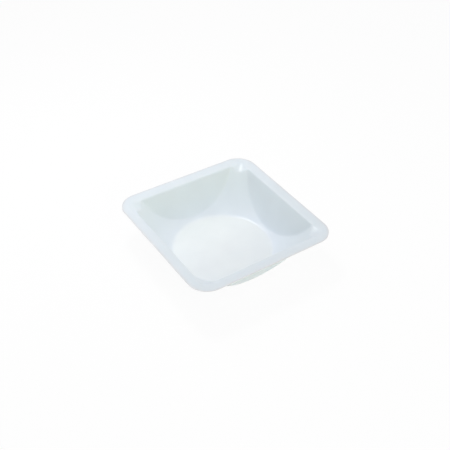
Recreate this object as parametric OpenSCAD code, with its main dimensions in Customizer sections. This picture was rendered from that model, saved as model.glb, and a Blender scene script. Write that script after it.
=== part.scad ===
// Square weighing boat: one thin sheet, thermoformed. A round bowl rises from a
// flat round base, four drafted flat walls cut it off, and a gently sloping lip
// turns it out into a flat square rim. A small spout at each corner pours.
//
// The top face of the sheet is a height over each point of the plan, made of
// simple surfaces that run softly into one another. The underside lies one sheet
// thickness away from it, measured square to the surface.

/* [Rim] */
// Side of the square rim, edge to edge
rim_size = 89; // [86:0.5:110]
// Radius of the rim's corners
rim_corner_r = 11.4; // [6:0.1:16]

/* [Sheet] */
// Height of the boat, from the table to the top of the rim
height = 22.5; // [18:0.1:25]
// Thickness of the sheet
sheet = 0.3; // [0.2:0.05:0.5]

/* [Flat walls] */
// Distance between opposite flat walls, measured level with the rim
mouth_size = 76.6; // [73:0.1:80]
// Lean of the flat walls away from upright, in degrees
wall_draft = 19.4; // [14:0.1:22]

/* [Bowl] */
// Diameter of the flat round base
base_d = 57.3; // [50:0.1:60]
// Diameter at which the bowl would come level with the rim
bowl_d = 98; // [94:0.1:100]
// Slope of the bowl where it leaves the base, in degrees
bowl_foot_slope = 32; // [24:0.5:38]

/* [Lip] */
// Distance between opposite top edges of the lip, where the flat rim begins
lip_size = 80.8; // [79.5:0.1:83]
// Radius of the lip's corners, along its top edge
lip_corner_r = 7.3; // [4:0.1:12]
// Slope of the lip towards the walls, in degrees
lip_slope = 11; // [4:0.5:14]

/* [Spouts] */
// Distance from the middle of the boat to the tip of each spout
spout_reach = 53.8; // [52:0.1:56]
// Slope of a spout along its middle line, in degrees
spout_slope = 24; // [18:0.1:28]
// Radius of the rounded bottom of a spout
spout_r = 5.2; // [4:0.1:7]

/* [Soft edges] */
// Height over which the base and the bowl run into each other
base_blend = 0.9; // [0.4:0.1:1.6]
// Height over which the bowl and the flat walls run into each other
crease_blend = 1.1; // [0.5:0.1:2]
// Height over which the walls and the bowl run into the lip and the spouts
lip_blend = 1.4; // [1.3:0.1:2]
// Height over which the spouts run into the lip and the rim
spout_blend = 0.5; // [0.4:0.1:1.4]
// Height over which the lip runs into the rim
rim_blend = 0.15; // [0.1:0.05:0.4]

/* [Smoothness] */
// Facets along each straight side of the rim
side_steps = 14; // [8:1:14]
// Facets round each corner of the rim
corner_steps = 12; // [4:2:12]
// Rings of facets between the base and the rim's edge
rings = 27; // [16:1:28]

/* [Hidden] */

// Samples of a section from which its rings are placed
section_samples = 220;
// Section length that one radian of bend counts for when rings are placed
bend_length = 7;
// Half the distance over which the slope of the sheet is taken
slope_reach = 0.01;

rim_half = rim_size / 2;
side_half = rim_half - rim_corner_r;
columns = 4 * (side_steps + corner_steps);
floor_level = sheet - height;

// The bowl's section is a circular arc from the edge of the base up to bowl_d
bowl_run = (bowl_d - base_d) / 2;
bowl_chord = norm([bowl_run, floor_level]);
bowl_chord_slope = atan2(-floor_level, bowl_run);
bowl_arc_r = bowl_chord / (2 * sin(bowl_chord_slope - bowl_foot_slope));
bowl_arc_x = base_d / 2 - bowl_arc_r * sin(bowl_foot_slope);
bowl_arc_z = floor_level + bowl_arc_r * cos(bowl_foot_slope);

// The innermost ring lies on the flat of the base, clear of its soft edge
flat_r = base_d / 2 - 2 * base_blend;

// The greater and the lesser of two heights, run together where they are within
// a blend of each other
function soft_max(a, b, blend) =
    max(a, b) + pow(max(blend - abs(a - b), 0), 2) / (4 * blend);
function soft_min(a, b, blend) = -soft_max(-a, -b, blend);

// Heights of the surfaces, all measured from the top of the rim
function bowl_level(r) =
    bowl_arc_z - sqrt(max(pow(bowl_arc_r, 2) - pow(r - bowl_arc_x, 2), 0));
function wall_level(across) = (abs(across) - mouth_size / 2) / tan(wall_draft);
function lip_distance(p) =
    let (past = [abs(p.x), abs(p.y)] - [1, 1] * (lip_size / 2 - lip_corner_r))
    norm([max(past.x, 0), max(past.y, 0)]) + min(max(past.x, past.y), 0) - lip_corner_r;
function spout_level(p) =
    let (
        inward = spout_reach - (abs(p.x) + abs(p.y)) / sqrt(2),
        across = (abs(p.x) - abs(p.y)) / sqrt(2)
    )
    pow(across, 2) / (2 * spout_r) - inward * tan(spout_slope);

function pan_level(p) =
    soft_max(
        soft_max(floor_level, bowl_level(norm(p)), base_blend),
        soft_max(wall_level(p.x), wall_level(p.y), crease_blend),
        crease_blend
    );
function lip_level(p) =
    soft_min(
        soft_min(0, lip_distance(p) * tan(lip_slope), rim_blend),
        spout_level(p),
        spout_blend
    );
function sheet_level(p) = soft_min(pan_level(p), lip_level(p), lip_blend);

// Outline of the rim, anticlockwise, as side_steps and corner_steps for each side
function quarter_turn(p, turns) =
    [p.x * cos(90 * turns) - p.y * sin(90 * turns), p.x * sin(90 * turns) + p.y * cos(90 * turns)];
function side_outline() = concat(
    [for (i = [0 : side_steps - 1]) [rim_half, side_half * (2 * i / side_steps - 1)]],
    [for (i = [0 : corner_steps - 1]) let (turn = 90 * i / corner_steps)
        [side_half + rim_corner_r * cos(turn), side_half + rim_corner_r * sin(turn)]]
);
rim_outline = [for (turns = [0 : 3]) for (p = side_outline()) quarter_turn(p, turns)];

// A section runs straight out from the base, at along = 0, to the rim, at along = 1
function section_point(rim_point, along) =
    rim_point * (flat_r / norm(rim_point) * (1 - along) + along);

// Steps of a section counted by their length and their bend
function section_steps(rim_point) =
    let (
        run = (norm(rim_point) - flat_r) / section_samples,
        levels = [for (i = [0 : section_samples]) sheet_level(section_point(rim_point, i / section_samples))],
        slopes = [for (i = [0 : section_samples - 1]) atan2(levels[i + 1] - levels[i], run)]
    )
    [for (i = [0 : section_samples - 1])
        norm([run, levels[i + 1] - levels[i]])
            + bend_length * abs(slopes[i] - slopes[max(i - 1, 0)]) * PI / 180];

// Places of the rings along a section, evenly spaced by that count
function ring_places(rim_point) =
    let (
        steps = section_steps(rim_point),
        counted = [for (i = 0, total = 0; i <= section_samples;
                total = total + (i < section_samples ? steps[i] : 0), i = i + 1)
            [total, i / section_samples]],
        whole = counted[section_samples][0]
    )
    [for (k = [0 : rings]) lookup(whole * k / rings, counted)];

// Direction square to the sheet's top face
function sheet_normal(p) =
    let (
        slope_x = (sheet_level(p + [slope_reach, 0]) - sheet_level(p - [slope_reach, 0])) / (2 * slope_reach),
        slope_y = (sheet_level(p + [0, slope_reach]) - sheet_level(p - [0, slope_reach])) / (2 * slope_reach),
        square = [-slope_x, -slope_y, 1]
    )
    square / norm(square);

module boat() {
    places = [for (p = rim_outline) ring_places(p)];
    plan = [for (k = [0 : rings]) for (j = [0 : columns - 1])
        section_point(rim_outline[j], places[j][k])];
    top_face = [for (p = plan) [p.x, p.y, height + sheet_level(p)]];
    underside = [for (i = [0 : len(plan) - 1]) top_face[i] - sheet * sheet_normal(plan[i])];
    below = len(plan);
    edge = rings * columns;

    color("whitesmoke")
    polyhedron(
        points = concat(top_face, underside),
        faces = concat(
            [[for (j = [columns - 1 : -1 : 0]) j]],
            [[for (j = [0 : columns - 1]) below + j]],
            [for (k = [0 : rings - 1]) for (j = [0 : columns - 1])
                let (a = k * columns + j, b = k * columns + (j + 1) % columns)
                each [
                    [a, b, b + columns], [a, b + columns, a + columns],
                    [below + b, below + a, below + a + columns],
                    [below + b, below + a + columns, below + b + columns]
                ]],
            [for (j = [0 : columns - 1]) let (a = edge + j, b = edge + (j + 1) % columns)
                each [[a, b, below + b], [a, below + b, below + a]]]
        )
    );
}

boat();
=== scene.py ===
"""Square weighing boat of thin white polystyrene, with a pale studio around it.

The boat is one thermoformed sheet. Its top face is a height over the plan, worked
out as whole arrays from a flat base, a round bowl, four drafted walls, a gently
sloping lip and four small spouts, which run softly into one another.
"""

import math

import bpy
import numpy as np
from bpy.props import (
    FloatProperty,
    FloatVectorProperty,
    IntProperty,
    PointerProperty,
)
from mathutils import Matrix, Vector


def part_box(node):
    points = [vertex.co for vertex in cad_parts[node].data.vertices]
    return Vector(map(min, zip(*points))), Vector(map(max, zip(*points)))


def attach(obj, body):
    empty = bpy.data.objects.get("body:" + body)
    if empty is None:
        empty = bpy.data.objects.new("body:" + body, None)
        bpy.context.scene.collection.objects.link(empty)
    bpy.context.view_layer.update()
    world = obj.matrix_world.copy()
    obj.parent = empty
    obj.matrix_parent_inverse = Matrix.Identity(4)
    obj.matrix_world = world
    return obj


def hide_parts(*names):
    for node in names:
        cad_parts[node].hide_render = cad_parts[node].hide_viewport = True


bl_info = {
    "name": "Weighing boat",
    "version": (1, 0, 0),
    "blender": (4, 5, 0),
    "location": "View3D > Sidebar > Weighing boat",
    "description": "Makes a square weighing boat with four spouts, and a pale studio",
    "category": "Object",
}

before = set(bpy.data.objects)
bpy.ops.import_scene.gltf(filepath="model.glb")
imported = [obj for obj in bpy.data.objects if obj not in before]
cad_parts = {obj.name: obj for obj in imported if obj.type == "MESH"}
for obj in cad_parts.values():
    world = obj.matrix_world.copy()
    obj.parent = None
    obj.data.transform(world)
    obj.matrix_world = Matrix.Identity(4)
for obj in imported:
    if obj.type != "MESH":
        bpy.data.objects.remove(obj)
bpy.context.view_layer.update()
BOAT_LOW, BOAT_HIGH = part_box("boat")

# Half the distance over which a slope of the sheet is taken
SLOPE_REACH = 0.00001
# Samples of a section from which its rings are placed
SECTION_SAMPLES = 900
# Section length that one radian of bend counts for when rings are placed
BEND_LENGTH = 0.007
# Faces round each of the two softened arrises of the cut edge
EDGE_STEPS = 4

# Share of the painted light from the white table below that stays on the base's disc,
# and the height over which the rest of it fades up the sheet
TABLE_LIGHT_DISC_SHARE = 0.5
TABLE_LIGHT_FADE = 0.006
# Distance over which the painted shade of the cut edge fades into the sheet
EDGE_SHADE_FADE = 0.0006

# Noises in the sheet, in cells to the metre
CLOUD_SCALE = 90
GRAIN_SCALE = 2600
WAVE_SCALE = 45
# The range that nearly all of the clouds' noise lies in, the factor that it gives the
# colour, and what it adds to the roughness
CLOUD_RANGE = (0.3, 0.7)
CLOUD_TINT = (0.985, 1.01)
CLOUD_ROUGHNESS = (-0.015, 0.035)
POLYSTYRENE_IOR = 1.59

# Noise in the floor's paint, in cells to the metre, and the roughness that it gives
MOTTLE_SCALE = 12
MOTTLE_ROUGHNESS = (0.6, 0.8)

# Sockets of a Mix node for colours, which share their names with others
MIX_SHARE, MIX_FIRST, MIX_SECOND, MIX_RESULT = 0, 6, 7, 2

# Side of each square lamp, and its place
RIGHT_LAMP = (0.5, (0.951, 0, 0.332))
FAR_LAMP = (0.5, (0.75, 0.433, 0.523))
LEFT_LAMP = (0.1, (-0.166, -0.061, 0.199))
SPOT_LAMP = (0.06, (-0.128, -0.011, 0.326))


class BoatSizes(bpy.types.PropertyGroup):
    """Sizes of the boat, in metres and radians."""

    rim_size: FloatProperty(
        name="Rim size",
        description="Side of the square rim, edge to edge",
        default=BOAT_HIGH.x - BOAT_LOW.x,
        min=0.02,
        precision=4,
        unit="LENGTH",
        subtype="DISTANCE",
    )
    rim_corner_radius: FloatProperty(
        name="Rim corners",
        description="Radius of the rim's corners",
        default=0.0114,
        precision=4,
        unit="LENGTH",
        subtype="DISTANCE",
    )
    height: FloatProperty(
        name="Height",
        description="Height from the table to the top of the rim",
        default=BOAT_HIGH.z - BOAT_LOW.z,
        precision=4,
        unit="LENGTH",
        subtype="DISTANCE",
    )
    sheet: FloatProperty(
        name="Sheet",
        description="Thickness of the sheet",
        default=0.0003,
        precision=5,
        unit="LENGTH",
        subtype="DISTANCE",
    )
    mouth_size: FloatProperty(
        name="Mouth",
        description="Distance between opposite flat walls, measured level with the rim",
        default=0.0766,
        precision=4,
        unit="LENGTH",
        subtype="DISTANCE",
    )
    wall_draft: FloatProperty(
        name="Wall draft",
        description="Lean of the flat walls away from upright",
        default=math.radians(19.4),
        unit="ROTATION",
        subtype="ANGLE",
    )
    base_diameter: FloatProperty(
        name="Base",
        description="Diameter of the flat round base",
        default=0.0573,
        precision=4,
        unit="LENGTH",
        subtype="DISTANCE",
    )
    bowl_diameter: FloatProperty(
        name="Bowl",
        description="Diameter at which the bowl would come level with the rim",
        default=0.098,
        precision=4,
        unit="LENGTH",
        subtype="DISTANCE",
    )
    bowl_foot_slope: FloatProperty(
        name="Bowl foot",
        description="Slope of the bowl where it leaves the base",
        default=math.radians(32),
        unit="ROTATION",
        subtype="ANGLE",
    )
    lip_size: FloatProperty(
        name="Lip",
        description="Distance between opposite top edges of the lip",
        default=0.0808,
        precision=4,
        unit="LENGTH",
        subtype="DISTANCE",
    )
    lip_corner_radius: FloatProperty(
        name="Lip corners",
        description="Radius of the lip's corners, along its top edge",
        default=0.0073,
        precision=4,
        unit="LENGTH",
        subtype="DISTANCE",
    )
    lip_slope: FloatProperty(
        name="Lip slope",
        description="Slope of the lip towards the walls",
        default=math.radians(11),
        unit="ROTATION",
        subtype="ANGLE",
    )
    spout_reach: FloatProperty(
        name="Spout reach",
        description="Distance from the middle of the boat to the tip of each spout",
        default=0.0538,
        precision=4,
        unit="LENGTH",
        subtype="DISTANCE",
    )
    spout_slope: FloatProperty(
        name="Spout slope",
        description="Slope of a spout along its middle line",
        default=math.radians(24),
        unit="ROTATION",
        subtype="ANGLE",
    )
    spout_radius: FloatProperty(
        name="Spout radius",
        description="Radius of the rounded bottom of a spout",
        default=0.0052,
        precision=4,
        unit="LENGTH",
        subtype="DISTANCE",
    )
    base_blend: FloatProperty(
        name="Base blend",
        description="Height over which the base and the bowl run into each other",
        default=0.0009,
        precision=5,
        unit="LENGTH",
        subtype="DISTANCE",
    )
    crease_blend: FloatProperty(
        name="Crease blend",
        description="Height over which the bowl and the walls run into each other",
        default=0.0011,
        precision=5,
        unit="LENGTH",
        subtype="DISTANCE",
    )
    lip_blend: FloatProperty(
        name="Lip blend",
        description="Height over which the walls run into the lip and the spouts",
        default=0.0014,
        precision=5,
        unit="LENGTH",
        subtype="DISTANCE",
    )
    spout_blend: FloatProperty(
        name="Spout blend",
        description="Height over which the spouts run into the lip and the rim",
        default=0.0005,
        precision=5,
        unit="LENGTH",
        subtype="DISTANCE",
    )
    rim_blend: FloatProperty(
        name="Rim blend",
        description="Height over which the lip runs into the rim",
        default=0.00015,
        precision=5,
        unit="LENGTH",
        subtype="DISTANCE",
    )
    edge_radius: FloatProperty(
        name="Cut edge",
        description="Radius that softens the two arrises of the rim's cut edge",
        default=0.00008,
        precision=5,
        unit="LENGTH",
        subtype="DISTANCE",
    )
    side_steps: IntProperty(
        name="Side steps",
        description="Columns of faces along each straight side of the rim",
        default=60,
        min=8,
    )
    corner_steps: IntProperty(
        name="Corner steps",
        description="Columns of faces round each corner of the rim",
        default=32,
        min=4,
    )
    rings: IntProperty(
        name="Rings",
        description="Rings of faces between the middle and the rim",
        default=120,
        min=16,
    )


class BoatFinish(bpy.types.PropertyGroup):
    """Colours and surface of the polystyrene, with painted light and shade in three of
    its colours.
    """

    sheet_colour: FloatVectorProperty(
        name="Sheet colour",
        description="Colour of the white sheet",
        default=(0.728, 0.779, 0.813),
        size=3,
        min=0,
        max=1,
        subtype="COLOR",
    )
    # Partly the sheet drawn thin, partly painted light: a tint set by how steep each
    # face is, which brings the walls to the tone of the light on them
    drawn_and_painted_light_colour: FloatVectorProperty(
        name="Drawn colour",
        description="Colour of the sheet where forming has drawn it thinnest",
        default=(0.739, 0.790, 0.795),
        size=3,
        min=0,
        max=1,
        subtype="COLOR",
    )
    # Painted light: the base and the sheet low above it are coloured lighter, standing
    # in for the white table's light showing through the sheet
    table_light_colour: FloatVectorProperty(
        name="Base colour",
        description="Colour of the sheet on the flat base, where it stays thickest",
        default=(0.868, 0.914, 0.984),
        size=3,
        min=0,
        max=1,
        subtype="COLOR",
    )
    # Painted shade: the cut edge and a thin strip of the top face by it are coloured
    # darker grey, making a dark outline round the rim
    edge_shade_colour: FloatVectorProperty(
        name="Edge colour",
        description="Colour of the sheet at its cut edge, where light leaves it",
        default=(0.712, 0.712, 0.726),
        size=3,
        min=0,
        max=1,
        subtype="COLOR",
    )
    roughness: FloatProperty(
        name="Roughness",
        description="Roughness of the satin surface, before the clouds vary it",
        default=0.3,
        min=0,
        max=1,
        subtype="FACTOR",
    )
    gloss: FloatProperty(
        name="Gloss",
        description="Strength of the reflections, 0.5 for what the index gives",
        default=0.3,
        min=0,
        max=1,
        subtype="FACTOR",
    )
    translucency: FloatProperty(
        name="Translucency",
        description="Share of the light that goes into the sheet and scatters there",
        default=1.0,
        min=0,
        max=1,
        subtype="FACTOR",
    )
    scatter_depth: FloatProperty(
        name="Scatter depth",
        description="How far light spreads inside the sheet",
        default=0.00025,
        precision=5,
        unit="LENGTH",
        subtype="DISTANCE",
    )
    grain_height: FloatProperty(
        name="Grain height",
        description="Height of the fine grain",
        default=0.000006,
        precision=6,
        unit="LENGTH",
        subtype="DISTANCE",
    )
    wave_height: FloatProperty(
        name="Wave height",
        description="Height of the long gentle waves",
        default=0.00012,
        precision=5,
        unit="LENGTH",
        subtype="DISTANCE",
    )


class StudioSettings(bpy.types.PropertyGroup):
    """Camera, floor and lamps of the studio."""

    camera_azimuth: FloatProperty(
        name="Azimuth",
        description="Turn of the camera round the boat",
        default=math.radians(54.2015),
        unit="ROTATION",
        subtype="ANGLE",
    )
    camera_elevation: FloatProperty(
        name="Elevation",
        description="Angle of the camera above the table",
        default=math.radians(40.4337),
        unit="ROTATION",
        subtype="ANGLE",
    )
    camera_roll: FloatProperty(
        name="Roll",
        description="Turn of the camera about its line of sight",
        default=math.radians(2.446),
        unit="ROTATION",
        subtype="ANGLE",
    )
    camera_distance: FloatProperty(
        name="Distance",
        description="Distance of the camera from the middle of the rim, along its axis",
        default=0.41503,
        unit="LENGTH",
        subtype="DISTANCE",
    )
    camera_offset: FloatVectorProperty(
        name="Offset",
        description="How far the camera is moved to its own right, and up",
        default=(0.000525, -0.003965),
        size=2,
        precision=5,
        unit="LENGTH",
        subtype="NONE",
    )
    camera_lens: FloatProperty(
        name="Lens",
        description="Focal length, in millimetres",
        default=59.848,
        min=1,
    )
    floor_size: FloatProperty(
        name="Floor",
        description="Side of the square floor",
        default=3.0,
        unit="LENGTH",
        subtype="DISTANCE",
    )
    floor_gap: FloatProperty(
        name="Floor gap",
        description="How far the floor lies below the base",
        default=0.00002,
        precision=5,
        unit="LENGTH",
        subtype="DISTANCE",
    )
    floor_colour: FloatVectorProperty(
        name="Floor colour",
        description="Colour of the pale table top",
        default=(0.97, 0.97, 0.97),
        size=3,
        min=0,
        max=1,
        subtype="COLOR",
    )
    floor_lift: FloatProperty(
        name="Floor lift",
        description="Share of plain white that the camera sees in the floor",
        default=0.93,
        min=0,
        max=1,
        subtype="FACTOR",
    )
    floor_gloss_lift: FloatProperty(
        name="Floor lift in gloss",
        description="Share of plain white that gloss and clear pieces see in the floor",
        default=0.4,
        min=0,
        max=1,
        subtype="FACTOR",
    )
    sky_colour: FloatVectorProperty(
        name="Sky colour",
        description="Colour of the even light from all round",
        default=(0.961, 0.957, 1.0),
        size=3,
        min=0,
        max=1,
        subtype="COLOR",
    )
    sky_strength: FloatProperty(
        name="Sky strength",
        description="Strength of the even light from all round",
        default=0.556,
        min=0,
    )
    right_power: FloatProperty(
        name="Right lamp",
        description="Power of the soft lamp low at the front right, in watts",
        default=2.55,
        min=0,
    )
    right_colour: FloatVectorProperty(
        name="Right lamp colour",
        description="Colour of the soft lamp low at the front right",
        default=(1.0, 1.0, 0.75),
        size=3,
        min=0,
        max=1,
        subtype="COLOR",
    )
    left_power: FloatProperty(
        name="Left lamp",
        description="Power of the small lamp close by at the left, in watts",
        default=0.082,
        min=0,
    )
    spot_power: FloatProperty(
        name="Highlight lamp",
        description="Power of the small lamp high at the left, in watts",
        default=0.338,
        min=0,
    )
    far_power: FloatProperty(
        name="Far lamp",
        description="Power of the soft lamp further round on the right, in watts",
        default=0.785,
        min=0,
    )


def soft_max(a, b, blend):
    """Greater of two heights, run together where they lie within a blend of each other.

    To the greater it adds the square of what the gap leaves of the blend, divided by
    four blends.
    """
    return np.maximum(a, b) + np.maximum(blend - np.abs(a - b), 0) ** 2 / (4 * blend)


def soft_min(a, b, blend):
    """Lesser of two heights, run together as in soft_max."""
    return -soft_max(-a, -b, blend)


def bowl_level(radius, sizes):
    """Level of the round bowl at a distance from the middle.

    Its section is a circular arc that leaves the edge of the base at the foot slope
    and comes level with the rim at the bowl's diameter. The arc's radius is half its
    chord over the sine of the angle between the chord and the foot.
    """
    base_radius = sizes.base_diameter / 2
    depth = sizes.height - sizes.sheet
    run = sizes.bowl_diameter / 2 - base_radius
    chord_slope = math.atan2(depth, run)
    arc_radius = math.hypot(run, depth) / (
        2 * math.sin(chord_slope - sizes.bowl_foot_slope)
    )
    centre_radius = base_radius - arc_radius * math.sin(sizes.bowl_foot_slope)
    centre_level = arc_radius * math.cos(sizes.bowl_foot_slope) - depth
    across = np.maximum(arc_radius**2 - (radius - centre_radius) ** 2, 0)
    return centre_level - np.sqrt(across)


def wall_level(across, sizes):
    """Level of a flat wall: the distance past the mouth over the draft's tangent."""
    return (np.abs(across) - sizes.mouth_size / 2) / math.tan(sizes.wall_draft)


def distance_outside(x, y, size, corner_radius):
    """Distance outside a square with rounded corners, negative inside it.

    It is the distance past the middle of the nearest corner's circle, less the circle's
    radius. That is straight where a place is past it both ways, and the greater of the
    two ways elsewhere.
    """
    past_x = np.abs(x) - size / 2 + corner_radius
    past_y = np.abs(y) - size / 2 + corner_radius
    outside = np.hypot(np.maximum(past_x, 0), np.maximum(past_y, 0))
    inside = np.minimum(np.maximum(past_x, past_y), 0)
    return outside + inside - corner_radius


def lip_level(x, y, sizes):
    """Level of the sloping lip: the distance outside its edge times its slope."""
    distance = distance_outside(x, y, sizes.lip_size, sizes.lip_corner_radius)
    return distance * math.tan(sizes.lip_slope)


def spout_level(x, y, sizes):
    """Level of the four spouts, each a round channel that slopes up to its tip.

    Along its middle line a spout falls inwards at its slope. Across that line it rises
    by the square of the distance across over twice its radius. It goes no deeper than
    half the boat's height.
    """
    inward = sizes.spout_reach - (np.abs(x) + np.abs(y)) / math.sqrt(2)
    across = (np.abs(x) - np.abs(y)) / math.sqrt(2)
    rise = across**2 / (2 * sizes.spout_radius)
    return np.maximum(rise - inward * math.tan(sizes.spout_slope), -sizes.height / 2)


def sheet_level(plan, sizes):
    """Level of the sheet's top face over the plan, measured from the top of the rim.

    The pan is the greatest of the flat base, the bowl and the walls, and the sheet is
    the least of the pan, the lip, the spouts and the rim's own level, all run softly
    together. A place in the plan is a complex number, x + iy.
    """
    x, y = plan.real, plan.imag
    base = sizes.sheet - sizes.height
    bowl = soft_max(base, bowl_level(np.abs(plan), sizes), sizes.base_blend)
    walls = soft_max(wall_level(x, sizes), wall_level(y, sizes), sizes.crease_blend)
    pan = soft_max(bowl, walls, sizes.crease_blend)
    rim = soft_min(0, lip_level(x, y, sizes), sizes.rim_blend)
    turned_out = soft_min(rim, spout_level(x, y, sizes), sizes.spout_blend)
    return soft_min(pan, turned_out, sizes.lip_blend)


def sheet_normals(plan, sizes):
    """Directions square to the top face.

    Each has the sheet's falls along x and along y over a short distance, and that
    distance as its upright part, and is brought to a length of one.
    """
    rise_x, rise_y = (
        sheet_level(plan + reach, sizes) - sheet_level(plan - reach, sizes)
        for reach in (SLOPE_REACH, 1j * SLOPE_REACH)
    )
    upright = np.full(plan.shape, 2 * SLOPE_REACH)
    normals = np.stack([-rise_x, -rise_y, upright], axis=-1)
    return normals / np.linalg.norm(normals, axis=-1, keepdims=True)


def rim_outline(inset, sizes):
    """Outline of the rim, drawn in by an inset, anticlockwise as complex numbers.

    A quarter of it is a straight side and a quarter circle, and the other quarters are
    the same turned by right angles.
    """
    half = sizes.rim_size / 2 - inset
    corner_radius = sizes.rim_corner_radius - inset
    corner = sizes.rim_size / 2 - sizes.rim_corner_radius
    along = np.arange(sizes.side_steps) / sizes.side_steps
    turn = np.pi / 2 * np.arange(sizes.corner_steps) / sizes.corner_steps
    side = half + 1j * corner * (2 * along - 1)
    round_corner = corner * (1 + 1j) + corner_radius * np.exp(1j * turn)
    quarter = np.concatenate([side, round_corner])
    return np.outer(1j ** np.arange(4), quarter).ravel()


def ring_places(outline, sizes):
    """Plan of the rings, one row for each ring from the middle out.

    A section runs straight from the middle to each place of the outline. Its rings
    lie evenly along the section's length with a share of its bend added, so that they
    gather where the sheet turns.
    """
    along = np.linspace(0, 1, SECTION_SAMPLES + 1)
    levels = sheet_level(outline[:, None] * along, sizes)
    run = np.abs(outline)[:, None] / SECTION_SAMPLES
    drop = np.diff(levels, axis=1)
    slope = np.arctan2(drop, run)
    bend = np.abs(np.diff(slope, axis=1, prepend=slope[:, :1]))
    steps = np.hypot(run, drop) + BEND_LENGTH * bend
    total = np.cumsum(steps, axis=1)
    total = np.pad(total / total[:, -1:], ((0, 0), (1, 0)))
    # The sections are set two apart on one line, so one interpolation serves them all
    apart = 2 * np.arange(len(outline))[:, None]
    wanted = np.linspace(0, 1, sizes.rings + 1)[1:] + apart
    places = np.interp(
        wanted.ravel(), (total + apart).ravel(), np.tile(along, len(outline))
    )
    return (places.reshape(wanted.shape) * outline[:, None]).T


def cut_edge(sizes):
    """Points of the rim's cut edge, in rows from the top face down.

    Two small quarter circles soften its arrises. Each row is the rim's outline drawn in
    by the edge radius less its sine's share, and lies deeper than the nearer face by
    the edge radius less its cosine's share.
    """
    turn = np.pi / 2 * np.arange(1, EDGE_STEPS + 1) / EDGE_STEPS
    inset = sizes.edge_radius * (1 - np.sin(turn))
    depth = sizes.edge_radius * (1 - np.cos(turn))
    inset = np.concatenate([inset, inset[::-1]])
    depth = np.concatenate([depth, sizes.sheet - depth[::-1]])
    plan = np.stack([rim_outline(each, sizes) for each in inset])
    level = np.broadcast_to(sizes.height - depth[:, None], plan.shape)
    return np.stack([plan.real, plan.imag, level], axis=-1)


def tint_and_painted_light_shares(plan, levels, normals, sizes):
    """Shares from 0 to 1 that place the sheet's tints and painted light, for each point
    of the top face.

    The share drawn is one less the upright part of the normal: 0 where the sheet lies
    flat; its colour is partly the sheet drawn thin and partly painted light. The share
    of the base, painted light from the white table below, is partly its disc, with a
    soft edge, and partly an exponential fall with the height above it. The share of the
    cut edge, painted shade, falls exponentially with the distance from the edge.
    """
    # Painted light from the white table below, on the base's disc and fading up the
    # sheet
    past_base = (np.abs(plan) - sizes.base_diameter / 2) / sizes.base_blend
    disc = np.clip(0.5 - past_base / 2, 0, 1)
    nearness = np.exp(-np.maximum(levels - sizes.sheet, 0) / TABLE_LIGHT_FADE)
    # Painted shade of the cut edge, fading in from the rim's outline
    inward = -distance_outside(
        plan.real, plan.imag, sizes.rim_size, sizes.rim_corner_radius
    )
    return {
        # Partly painted light: a tint set by how steep the face is
        "drawn": 1 - normals[..., 2],
        "base": TABLE_LIGHT_DISC_SHARE * disc + (1 - TABLE_LIGHT_DISC_SHARE) * nearness,
        "cut": np.exp(-inward / EDGE_SHADE_FADE),
    }


def boat_surface(sizes):
    """Points of the whole sheet, as rows of one closed profile, and its tint and
    painted light shares.

    The rows run out over the top face, down round the cut edge and back under the
    sheet, which lies one thickness away square to the top face. The underside has the
    top face's shares, and the edge has the cut edge's painted shade alone.
    """
    plan = ring_places(rim_outline(sizes.edge_radius, sizes), sizes)
    normals = sheet_normals(plan, sizes)
    levels = sheet_level(plan, sizes) + sizes.height
    top = np.stack([plan.real, plan.imag, levels], axis=-1)
    underside = top - sizes.sheet * normals
    edge = cut_edge(sizes)
    rows = np.concatenate([top, edge, underside[::-1]])
    shares = {}
    for name, share in tint_and_painted_light_shares(plan, levels, normals, sizes).items():
        on_edge = np.full(edge.shape[:2], float(name == "cut"))
        shares[name] = np.concatenate([share, on_edge, share[::-1]])
    return rows, shares


def closed_faces(rows, columns):
    """Faces of a grid that is closed round its columns and has a pole at each end.

    Point k of row r is r times columns plus k. The first row's pole comes after all the
    rows, and the last row's pole after that. Faces point out of the sheet.
    """
    here = np.arange(columns)
    ahead = np.roll(here, -1)
    start = np.arange(rows - 1)[:, None] * columns
    near, far = start + here, start + ahead
    quads = np.stack([near, near + columns, far + columns, far], axis=-1)
    quads = quads.reshape(-1, 4)
    first_pole = np.full(columns, rows * columns)
    last = (rows - 1) * columns
    top_fan = np.stack([first_pole, here, ahead], axis=-1)
    bottom_fan = np.stack([first_pole + 1, last + ahead, last + here], axis=-1)
    return quads.tolist() + top_fan.tolist() + bottom_fan.tolist()


def make_boat_mesh(sizes):
    """Mesh of the boat, with its tint and painted light shares kept as attributes of
    its points.
    """
    rows, shares = boat_surface(sizes)
    poles = np.array([[0, 0, sizes.sheet], [0, 0, 0]])
    points = np.concatenate([rows.reshape(-1, 3), poles])
    mesh = bpy.data.meshes.new("weighing_boat")
    mesh.from_pydata(points.tolist(), [], closed_faces(*rows.shape[:2]))
    mesh.shade_smooth()
    for name, share in shares.items():
        attribute = mesh.attributes.new(name, "FLOAT", "POINT")
        at_poles = [share[0, 0], share[-1, 0]]
        attribute.data.foreach_set("value", np.append(share.ravel(), at_poles))
    mesh.validate()
    mesh.update()
    return mesh


def clear_tree(owner):
    """The node tree of a material or a world, emptied."""
    owner.use_nodes = True
    owner.node_tree.nodes.clear()
    return owner.node_tree


def add_node(tree, kind, place, sockets=None, **settings):
    """A new node of a kind, at a place in the editor, with its settings.

    Each socket named takes the value given for it, or a link where that is a socket.
    """
    node = tree.nodes.new(kind)
    node.location = place
    for name, value in settings.items():
        setattr(node, name, value)
    for name, value in (sockets or {}).items():
        if isinstance(value, bpy.types.NodeSocket):
            tree.links.new(value, node.inputs[name])
        else:
            node.inputs[name].default_value = value
    return node


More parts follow.
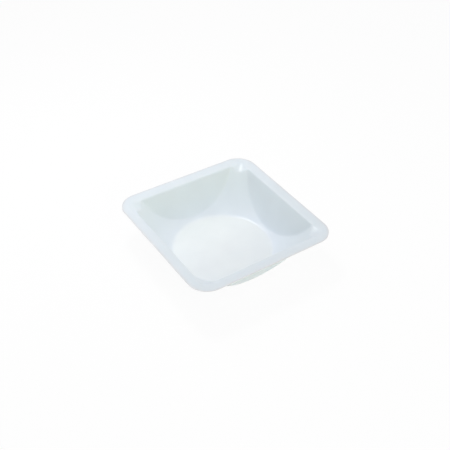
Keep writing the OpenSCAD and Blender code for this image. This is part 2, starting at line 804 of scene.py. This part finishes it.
def add_noise(tree, place, scale, detail):
    """Socket with noise over the piece's own coordinates, in cells to the metre."""
    coordinates = add_node(tree, "ShaderNodeTexCoord", (place[0] - 200, place[1]))
    sockets = {
        "Vector": coordinates.outputs["Object"],
        "Scale": scale,
        "Detail": detail,
    }
    return add_node(tree, "ShaderNodeTexNoise", place, sockets).outputs["Fac"]


def add_range(tree, place, value, given, wanted):
    """Socket with a value spread from the range given over the range wanted."""
    sockets = {
        "Value": value,
        "From Min": given[0],
        "From Max": given[1],
        "To Min": wanted[0],
        "To Max": wanted[1],
    }
    return add_node(tree, "ShaderNodeMapRange", place, sockets).outputs["Result"]


def add_colour_and_painted_light(tree, finish):
    """Socket with the sheet's colour, turned to three others by the tint and painted
    light shares.

    Each share kept in the mesh mixes its own colour over the one before it. The drawn
    colour is partly painted light, the base's is painted light from the table below and
    the edge's is painted shade.
    """
    layers = (
        # Partly painted light on the steep faces
        ("drawn", finish.drawn_and_painted_light_colour),
        # Painted light from the white table below
        ("base", finish.table_light_colour),
        # Painted shade of the cut edge
        ("cut", finish.edge_shade_colour),
    )
    below = (*finish.sheet_colour, 1)
    for step, (name, colour) in enumerate(layers):
        across = 220 * step - 900
        share = add_node(
            tree, "ShaderNodeAttribute", (across, 600), attribute_name=name
        )
        sockets = {
            MIX_SHARE: share.outputs["Fac"],
            MIX_FIRST: below,
            MIX_SECOND: (*colour, 1),
        }
        mix = add_node(tree, "ShaderNodeMix", (across, 400), sockets, data_type="RGBA")
        below = mix.outputs[MIX_RESULT]
    return below


def make_polystyrene(finish):
    """White polystyrene sheet with a satin surface.

    Its colour follows the tint and painted light shares, with faint milky clouds. Fine
    grain and long gentle waves stand up as bumps, and the roughness varies with the
    clouds.
    """
    material = bpy.data.materials.new("white_polystyrene")
    tree = clear_tree(material)
    clouds = add_noise(tree, (-1100, 100), CLOUD_SCALE, detail=4)
    grain = add_noise(tree, (-1100, -200), GRAIN_SCALE, detail=3)
    waves = add_noise(tree, (-1100, -500), WAVE_SCALE, detail=1)

    tint = add_range(tree, (-700, 200), clouds, CLOUD_RANGE, CLOUD_TINT)
    clouded = add_node(
        tree,
        "ShaderNodeVectorMath",
        (-200, 350),
        {0: add_colour_and_painted_light(tree, finish), "Scale": tint},
        operation="SCALE",
    )
    limits = [finish.roughness + change for change in CLOUD_ROUGHNESS]
    roughness = add_range(tree, (-700, -50), clouds, CLOUD_RANGE, limits)
    wave_bump = add_node(
        tree,
        "ShaderNodeBump",
        (-700, -500),
        {"Strength": 1, "Distance": finish.wave_height, "Height": waves},
    )
    grain_bump = add_node(
        tree,
        "ShaderNodeBump",
        (-450, -300),
        {
            "Strength": 0.6,
            "Distance": finish.grain_height,
            "Height": grain,
            "Normal": wave_bump.outputs["Normal"],
        },
    )
    plastic = add_node(
        tree,
        "ShaderNodeBsdfPrincipled",
        (0, 100),
        {
            "Base Color": clouded.outputs["Vector"],
            "Roughness": roughness,
            "IOR": POLYSTYRENE_IOR,
            "Specular IOR Level": finish.gloss,
            "Normal": grain_bump.outputs["Normal"],
            "Subsurface Weight": finish.translucency,
            "Subsurface Scale": finish.scatter_depth,
            "Subsurface Radius": (1, 1, 1),
        },
    )
    add_node(
        tree,
        "ShaderNodeOutputMaterial",
        (350, 100),
        {"Surface": plastic.outputs["BSDF"]},
    )
    return material


def link_object(name, data):
    """A new object in the scene."""
    thing = bpy.data.objects.new(name, data)
    bpy.context.scene.collection.objects.link(thing)
    return thing


class WEIGHING_OT_boat(bpy.types.Operator):
    """Makes the boat's sheet with its polystyrene finish"""

    bl_idname = "weighing.boat"
    bl_label = "Make the boat"

    def execute(self, context):
        boat = link_object("weighing_boat", make_boat_mesh(context.scene.boat_sizes))
        boat.data.materials.append(make_polystyrene(context.scene.boat_finish))
        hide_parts("boat")
        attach(boat, "root")
        return {"FINISHED"}


def make_camera(studio, sizes):
    """Camera that looks along its azimuth and elevation at the middle of the rim.

    The axis back to the camera comes from the two angles, and the roll turns the
    picture's right and up about it.
    """
    azimuth, elevation = studio.camera_azimuth, studio.camera_elevation
    back = Vector(
        (
            math.sin(azimuth) * math.cos(elevation),
            -math.cos(azimuth) * math.cos(elevation),
            math.sin(elevation),
        )
    )
    level_right = Vector((math.cos(azimuth), math.sin(azimuth), 0))
    roll = Matrix.Rotation(studio.camera_roll, 3, back)
    right = roll @ level_right
    up = roll @ back.cross(level_right)
    place = (
        Vector((0, 0, sizes.height))
        + back * studio.camera_distance
        + right * studio.camera_offset[0]
        + up * studio.camera_offset[1]
    )
    camera = link_object("camera", bpy.data.cameras.new("camera"))
    camera.data.sensor_width = 36
    camera.data.lens = studio.camera_lens
    camera.data.clip_start = 0.01
    camera.matrix_world = Matrix.Translation(place) @ Matrix(
        (right, up, back)
    ).transposed().to_4x4()
    return camera


def background_share(tree, camera_share, gloss_share):
    """Socket with the share of plain white that a ray sees in the background.

    It is one share for the rays from the camera, plus another for those that come off
    gloss or through clear pieces, and none for the rest.
    """
    rays = add_node(tree, "ShaderNodeLightPath", (-1000, 500)).outputs
    either = add_node(
        tree,
        "ShaderNodeMath",
        (-800, 500),
        {0: rays["Is Glossy Ray"], 1: rays["Is Transmission Ray"]},
        operation="MAXIMUM",
    )
    in_gloss = add_node(
        tree,
        "ShaderNodeMath",
        (-600, 500),
        {0: either.outputs["Value"], 1: gloss_share},
        operation="MULTIPLY",
    )
    share = add_node(
        tree,
        "ShaderNodeMath",
        (-400, 500),
        {0: rays["Is Camera Ray"], 1: camera_share, 2: in_gloss.outputs["Value"]},
        operation="MULTIPLY_ADD",
    )
    return share.outputs["Value"]


def make_floor(studio):
    """Pale floor: a flat square just under the boat.

    A share of plain white is seen in it by the camera, and another in gloss and through
    clear pieces, so that it reads as white and still keeps the boat's shadow.
    """
    half, level = studio.floor_size / 2, -studio.floor_gap
    corners = [
        (-half, -half, level),
        (half, -half, level),
        (half, half, level),
        (-half, half, level),
    ]
    mesh = bpy.data.meshes.new("floor")
    mesh.from_pydata(corners, [], [(0, 1, 2, 3)])
    floor = link_object("floor", mesh)

    material = bpy.data.materials.new("pale_floor")
    tree = clear_tree(material)
    mottle = add_noise(tree, (-700, 0), MOTTLE_SCALE, detail=2)
    roughness = add_range(tree, (-500, 0), mottle, (0, 1), MOTTLE_ROUGHNESS)
    paint = add_node(
        tree,
        "ShaderNodeBsdfPrincipled",
        (-250, 0),
        {
            "Base Color": (*studio.floor_colour, 1),
            "Roughness": roughness,
            "Specular IOR Level": 0.2,
        },
    )
    white = add_node(tree, "ShaderNodeEmission", (-250, -400))
    mix = add_node(
        tree,
        "ShaderNodeMixShader",
        (100, 0),
        {
            "Fac": background_share(tree, studio.floor_lift, studio.floor_gloss_lift),
            1: paint.outputs["BSDF"],
            2: white.outputs["Emission"],
        },
    )
    add_node(
        tree, "ShaderNodeOutputMaterial", (300, 0), {"Surface": mix.outputs["Shader"]}
    )
    mesh.materials.append(material)
    return floor


def make_sky(studio):
    """World with even light from all round, seen as plain white by the camera.

    Gloss and clear pieces show it as plain white too.
    """
    world = bpy.data.worlds.new("studio_sky")
    tree = clear_tree(world)
    light = add_node(
        tree,
        "ShaderNodeBackground",
        (-300, 100),
        {"Color": (*studio.sky_colour, 1), "Strength": studio.sky_strength},
    )
    backdrop = add_node(
        tree, "ShaderNodeBackground", (-300, -100), {"Color": (1, 1, 1, 1)}
    )
    mix = add_node(
        tree,
        "ShaderNodeMixShader",
        (0, 0),
        {
            "Fac": background_share(tree, 1, 1),
            1: light.outputs["Background"],
            2: backdrop.outputs["Background"],
        },
    )
    add_node(
        tree, "ShaderNodeOutputWorld", (250, 0), {"Surface": mix.outputs["Shader"]}
    )
    return world


def make_lamp(name, power, size, place, target):
    """Soft square lamp at a place, facing a target."""
    data = bpy.data.lights.new(name, "AREA")
    data.energy = power
    data.size = size
    lamp = link_object(name, data)
    facing = Vector(target) - Vector(place)
    lamp.rotation_euler = facing.to_track_quat("-Z", "Y").to_euler()
    lamp.location = place
    return lamp


class WEIGHING_OT_studio(bpy.types.Operator):
    """Makes the floor, the lamps, the sky and the camera"""

    bl_idname = "weighing.studio"
    bl_label = "Make the studio"

    def execute(self, context):
        scene = context.scene
        studio, sizes = scene.boat_studio, scene.boat_sizes
        scene.camera = make_camera(studio, sizes)
        make_floor(studio)
        scene.world = make_sky(studio)
        middle = (0, 0, sizes.height)
        right = make_lamp("right_lamp", studio.right_power, *RIGHT_LAMP, middle)
        right.data.color = studio.right_colour
        make_lamp("far_lamp", studio.far_power, *FAR_LAMP, middle)
        make_lamp("left_lamp", studio.left_power, *LEFT_LAMP, middle)
        make_lamp("spot_lamp", studio.spot_power, *SPOT_LAMP, middle)
        scene.view_settings.view_transform = "Standard"
        return {"FINISHED"}


class WEIGHING_PT_panel(bpy.types.Panel):
    """Sizes, finish and studio of the weighing boat"""

    bl_idname = "WEIGHING_PT_panel"
    bl_label = "Weighing boat"
    bl_space_type = "VIEW_3D"
    bl_region_type = "UI"
    bl_category = "Weighing boat"

    def draw(self, context):
        scene = context.scene
        groups = (
            (scene.boat_sizes, WEIGHING_OT_boat),
            (scene.boat_finish, None),
            (scene.boat_studio, WEIGHING_OT_studio),
        )
        for group, operator in groups:
            column = self.layout.column(align=True)
            for name in group.__annotations__:
                column.prop(group, name)
            if operator is not None:
                column.operator(operator.bl_idname)


CLASSES = (
    BoatSizes,
    BoatFinish,
    StudioSettings,
    WEIGHING_OT_boat,
    WEIGHING_OT_studio,
    WEIGHING_PT_panel,
)


def register():
    for each in CLASSES:
        bpy.utils.register_class(each)
    bpy.types.Scene.boat_sizes = PointerProperty(type=BoatSizes)
    bpy.types.Scene.boat_finish = PointerProperty(type=BoatFinish)
    bpy.types.Scene.boat_studio = PointerProperty(type=StudioSettings)


def unregister():
    del bpy.types.Scene.boat_studio
    del bpy.types.Scene.boat_finish
    del bpy.types.Scene.boat_sizes
    for each in reversed(CLASSES):
        bpy.utils.unregister_class(each)


def main():
    register()
    bpy.ops.weighing.studio()
    bpy.ops.weighing.boat()


if __name__ == "__main__":
    main()
